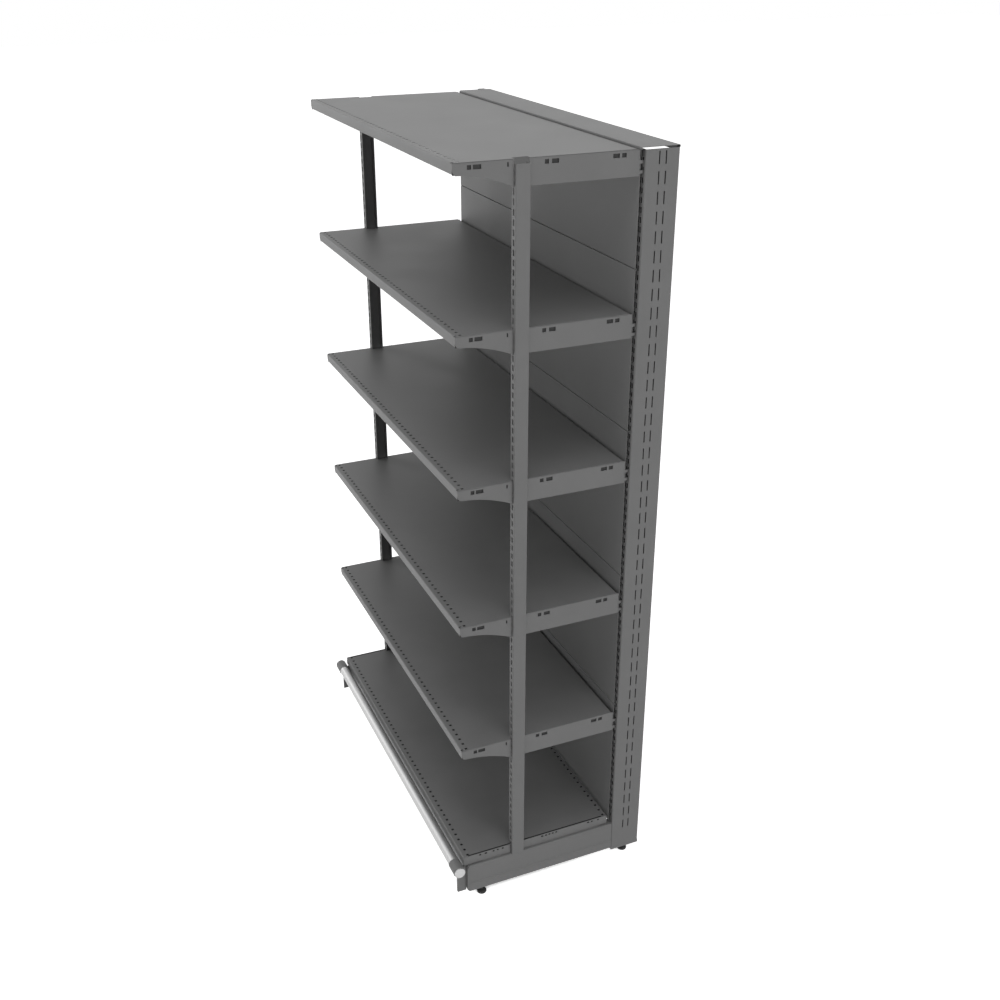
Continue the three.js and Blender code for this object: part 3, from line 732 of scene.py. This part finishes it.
aluminium = drawn_aluminium("drawn_anodised_aluminium", ALUMINIUM_SILVER)
low, high = corners_of("bumper_tube")
axis = (0.0, (low[1] + high[1]) / 2, (low[2] + high[2]) / 2)
radius = (high[2] - low[2]) / 2
bore = radius - TUBE_WALL
tube_profile = [
    (bore, low[0]), (radius - TUBE_EDGE, low[0]), (radius, low[0] + TUBE_EDGE),
    (radius, high[0] - TUBE_EDGE), (radius - TUBE_EDGE, high[0]), (bore, high[0]),
]
tube = turned_along_x(tube_profile, axis, TUBE_SIDES, closed=True)
piece("drawn_bumper_tube", [tube], [aluminium], "frame", ["bumper_tube"], smooth=ROUND_ANGLE)
for side, sign in SIDES.items():
    low, high = corners_of(f"bumper_plug_{side}")
    face = high[0] if sign > 0 else -low[0]
    back = face - PLUG_FLANGE
    tail = face - (high[0] - low[0])
    plug_profile = np.array([
        (0.0, face - PLUG_DISH), (radius - PLUG_RIM - PLUG_DISH, face - PLUG_DISH),
        (radius - PLUG_RIM, face),
        (radius - TUBE_EDGE, face), (radius, face - TUBE_EDGE), (radius, back),
        (bore - FIT, back), (bore - FIT, tail), (0.0, tail),
    ])
    points, quads = turned_along_x(plug_profile, axis, TUBE_SIDES, closed=False)
    points = points * (sign, 1, 1)
    plug = (points, quads if sign < 0 else quads[:, ::-1])
    piece(
        f"dished_bumper_plug_{side}", [plug], [aluminium], "frame", [f"bumper_plug_{side}"],
        smooth=ROUND_ANGLE,
    )
    low, high = corners_of(f"bumper_sleeve_{side}")
    sleeve_radius = (high[2] - low[2]) / 2
    sleeve_profile = [
        (radius + FIT, low[0]), (sleeve_radius - TUBE_EDGE, low[0]), (sleeve_radius, low[0] + TUBE_EDGE),
        (sleeve_radius, high[0] - TUBE_EDGE), (sleeve_radius - TUBE_EDGE, high[0]), (radius + FIT, high[0]),
    ]
    sleeve = turned_along_x(sleeve_profile, axis, TUBE_SIDES, closed=True)
    piece(
        f"turned_bumper_sleeve_{side}", [sleeve], [coat], "frame", [f"bumper_sleeve_{side}"],
        smooth=ROUND_ANGLE,
    )

# Levelling feet: moulded black pads with a ribbed rim for the fingers, each on a threaded stem that turns
# in the leg or the floor plate above it.
FOOT_SIDES = 72
FOOT_RIBS = 18
RIB_DEPTH = 0.5 * MM
RIB_FROM_STEM = 2 * MM
STEM_RADIUS = 5 * MM
STEM_COLLAR = 1 * MM
PAD_HEIGHT = 7 * MM
CONE_HEIGHT = 4 * MM
PAD_EDGE_ROUND = 1.2 * MM
THREAD_PITCH = 1.5 * MM
THREAD_DEPTH = 0.5 * MM
POLYAMIDE_BLACK = "#2a2a2a"
black_plastic = dull_rubber("moulded_black_polyamide", POLYAMIDE_BLACK)
for node in sorted(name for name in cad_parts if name.startswith("foot_")):
    low, high = corners_of(node)
    centre = (low + high) / 2
    pad = (high[0] - low[0]) / 2
    stem_from = low[2] + PAD_HEIGHT + CONE_HEIGHT
    thread = np.arange(stem_from + THREAD_PITCH, high[2] - THREAD_PITCH, THREAD_PITCH / 2)
    crest = STEM_RADIUS - THREAD_DEPTH * (np.arange(thread.size) % 2)
    profile = np.vstack([
        [(0.0, low[2]), (pad - PAD_EDGE_ROUND, low[2]), (pad, low[2] + PAD_EDGE_ROUND)],
        [(pad, low[2] + PAD_HEIGHT - PAD_EDGE_ROUND), (pad - PAD_EDGE_ROUND, low[2] + PAD_HEIGHT)],
        [(STEM_RADIUS + STEM_COLLAR, stem_from), (STEM_RADIUS, stem_from)],
        np.stack([crest, thread], 1),
        [(STEM_RADIUS - THREAD_DEPTH, high[2]), (0.0, high[2])],
    ])
    points, quads = turned_along_x(profile, (0.0, 0.0, 0.0), FOOT_SIDES, closed=False)
    height, side_y, side_z = points.T
    spread = np.hypot(side_y, side_z)
    wave = (1 - np.cos(FOOT_RIBS * np.arctan2(side_z, side_y))) / 2
    ribs = 1 - RIB_DEPTH / pad * (spread > STEM_RADIUS + RIB_FROM_STEM) * wave
    points = np.stack([centre[0] + side_y * ribs, centre[1] + side_z * ribs, height], 1)
    piece(
        f"ribbed_{node}", [(points, quads)], [black_plastic], f"levelling_{node}", [node],
        smooth=ROUND_ANGLE,
    )

# Tie beams, floor plates and bumper brackets: plain folded or cut steel behind the panels, under the
# uprights and on the kick plate. Their solids stay as they are and take the same coat.
for name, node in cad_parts.items():
    if name.startswith(("tie_beam", "upright_shoe", "bumper_bracket")):
        node.data.materials.clear()
        node.data.materials.append(coat)

# Stage: a plain white paper floor and soft studio light. The floor glows white to the eye where it lies open,
# and the glow fades with ambient occlusion, which paints shade close under and beside the bay.
FLOOR_HALF = 30.0
FLOOR_WHITE = "#f4f4f4"
FLOOR_GLOW = 1.0
FLOOR_SHADE_REACH = 0.4
FLOOR_SHADED = 0.12
FLOOR_OPEN = 0.28
floor_mesh = bpy.data.meshes.new("floor")
floor_mesh.from_pydata(
    [(x * FLOOR_HALF, y * FLOOR_HALF, 0) for x, y in ((-1, -1), (1, -1), (1, 1), (-1, 1))],
    [],
    [(0, 1, 2, 3)],
)
floor = bpy.data.objects.new("floor", floor_mesh)
bpy.context.scene.collection.objects.link(floor)
floor_paper, floor_tree, floor_shader = new_material("white_paper_floor")
floor_shader.inputs["Base Color"].default_value = linear(FLOOR_WHITE)
floor_shader.inputs["Roughness"].default_value = 0.9
floor_shader.inputs["Emission Color"].default_value = (1, 1, 1, 1)
floor_rays = add_node(floor_tree, "ShaderNodeLightPath")
# Painted shade: the glow follows ambient occlusion, so the floor goes dark near the bay.
reach = add_node(floor_tree, "ShaderNodeAmbientOcclusion", {"Distance": FLOOR_SHADE_REACH})
open_floor = add_node(
    floor_tree, "ShaderNodeMapRange",
    {"From Min": FLOOR_SHADED, "From Max": FLOOR_OPEN, "To Max": FLOOR_GLOW},
    {"Value": (reach, "AO")},
)
floor_seen = add_node(
    floor_tree, "ShaderNodeMath", {"operation": "MAXIMUM"},
    {0: (floor_rays, "Is Camera Ray"), 1: (floor_rays, "Is Glossy Ray")},
)
glow = add_node(
    floor_tree, "ShaderNodeMath", {"operation": "MULTIPLY"},
    {0: (floor_seen, "Value"), 1: (open_floor, "Result")},
)
floor_tree.links.new(glow.outputs[0], floor_shader.inputs["Emission Strength"])
floor_mesh.materials.append(floor_paper)

SKY_STRENGTH = 0.21
world = bpy.data.worlds.new("studio")
bpy.context.scene.world = world
world.use_nodes = True
sky = world.node_tree
backdrop = sky.nodes["Background"]
backdrop.inputs["Color"].default_value = (1, 1, 1, 1)
backdrop.inputs["Strength"].default_value = SKY_STRENGTH
seen = add_node(sky, "ShaderNodeBackground", {"Color": (1, 1, 1, 1), "Strength": 1.0})
rays = add_node(sky, "ShaderNodeLightPath")
sky_seen = add_node(
    sky, "ShaderNodeMath", {"operation": "MAXIMUM"},
    {0: (rays, "Is Camera Ray"), 1: (rays, "Is Glossy Ray")},
)
mixed = add_node(sky, "ShaderNodeMixShader", {}, {"Fac": (sky_seen, "Value")})
sky.links.new(backdrop.outputs["Background"], mixed.inputs[1])
sky.links.new(seen.outputs["Background"], mixed.inputs[2])
sky.links.new(mixed.outputs["Shader"], sky.nodes["World Output"].inputs["Surface"])


def area_lamp(name, place, target, size, watts):
    """A square soft box at place that faces target."""
    lamp = bpy.data.lights.new(name, "AREA")
    lamp.shape = "SQUARE"
    lamp.size = size
    lamp.energy = watts
    obj = bpy.data.objects.new(name, lamp)
    bpy.context.scene.collection.objects.link(obj)
    direction = np.array(target, float) - np.array(place, float)
    flat = math.hypot(direction[0], direction[1])
    obj.location = place
    heading = math.atan2(direction[1], direction[0]) - math.pi / 2
    obj.rotation_euler = (math.atan2(flat, -direction[2]), 0, heading)


area_lamp("overhead_soft_box", (1.0, -1.0, 6.0), (0, 0, 1.2), 4.0, 68)
area_lamp("right_soft_box", (5.0, 0.5, 2.5), (0, 0, 1.1), 3.0, 52)
area_lamp("left_front_soft_box", (-5.0, -3.4, 3.0), (0, 0, 1.1), 3.0, 86)

# Camera at the photograph's place, to the front right and above, in this frame.
# Place, angles and focal length were solved from the straight edges of the bay.
CAMERA_PLACE = (3.2789, -1.3206, 2.7388)
CAMERA_YAW = 66.55
CAMERA_PITCH = 25.55
FOCAL_PIXELS = 1207.82
IMAGE_PIXELS = 1000
SENSOR_WIDTH = 36.0
view = bpy.data.cameras.new("photo_view")
view.sensor_fit = "HORIZONTAL"
view.sensor_width = SENSOR_WIDTH
view.lens = FOCAL_PIXELS / IMAGE_PIXELS * SENSOR_WIDTH
camera = bpy.data.objects.new("photo_view", view)
bpy.context.scene.collection.objects.link(camera)
camera.location = CAMERA_PLACE
camera.rotation_euler = (math.radians(90 - CAMERA_PITCH), 0, math.radians(CAMERA_YAW))
bpy.context.scene.camera = camera
bpy.context.scene.view_settings.view_transform = "Standard"
